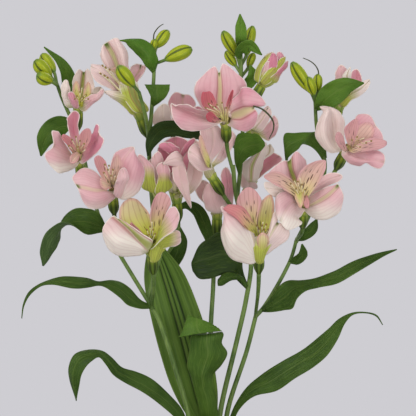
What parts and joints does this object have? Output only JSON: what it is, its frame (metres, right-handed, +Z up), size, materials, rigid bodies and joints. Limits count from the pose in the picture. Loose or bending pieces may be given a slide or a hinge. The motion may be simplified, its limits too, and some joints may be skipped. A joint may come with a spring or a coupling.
{
  "type": "potted peruvian lily",
  "caption": "Peruvian lily in a round clay pot: leafy branching stems with funnel-shaped pink and cream blooms, closed green buds and long arching leaves.",
  "frame": {"origin": "middle of the pot's flat underside", "axes": "+Z up along the pot's axis, -Y towards the side that the blooms face, +X to the right seen from there"},
  "size_m": [0.2406, 0.1743, 0.3963],
  "materials": {
    "clay": "unglazed, matt",
    "soil": "loose peat and bark",
    "stem": "smooth, slightly waxy",
    "leaf": "soft sheen",
    "tepal": "thin and silky"
  },
  "bodies": {
    "root": {"bloom_crown": "tepal", "bloom_left": "tepal", "bloom_left_middle": "tepal", "bloom_lower_left": "tepal", "bloom_lower_middle": "tepal", "bloom_right_middle": "tepal", "bloom_right": "tepal", "bloom_centre": "tepal", "bloom_back_left": "tepal", "bloom_nodding": "tepal", "bloom_inner": "tepal", "bloom_back_right": "tepal", "bloom_back_top": "tepal", "bloom_far_left": "tepal", "bloom_top_left": "tepal", "bloom_top_right": "tepal", "bloom_inner_left": "tepal", "bud_opening": "tepal", "stem_1": "stem", "stem_2": "stem", "stem_3": "stem", "stem_4": "stem", "stem_5": "stem", "leaf_left_upper": "leaf", "leaf_left_long": "leaf", "leaf_left_lower": "leaf", "leaf_broad": "leaf", "leaf_front": "leaf", "leaf_right_upper": "leaf", "leaf_right_lower": "leaf", "leaf_dark": "leaf", "leaf_arched": "leaf", "leaf_far_left": "leaf", "leaf_top_left": "leaf", "leaf_left_spray": "leaf", "leaf_small_left": "leaf", "leaf_behind_crown": "leaf", "leaf_right_folded": "leaf", "leaf_right_top": "leaf", "leaf_crown_up": "leaf", "leaf_crown_arch": "leaf", "leaf_crown_side": "leaf", "leaf_right_small": "leaf", "leaf_right_twist": "leaf", "leaf_behind_left": "leaf", "leaf_centre_small": "leaf", "leaf_rear_low": "leaf", "leaf_rear_high": "leaf", "pot": "clay", "soil": "soil"}
  },
  "joints": []
}
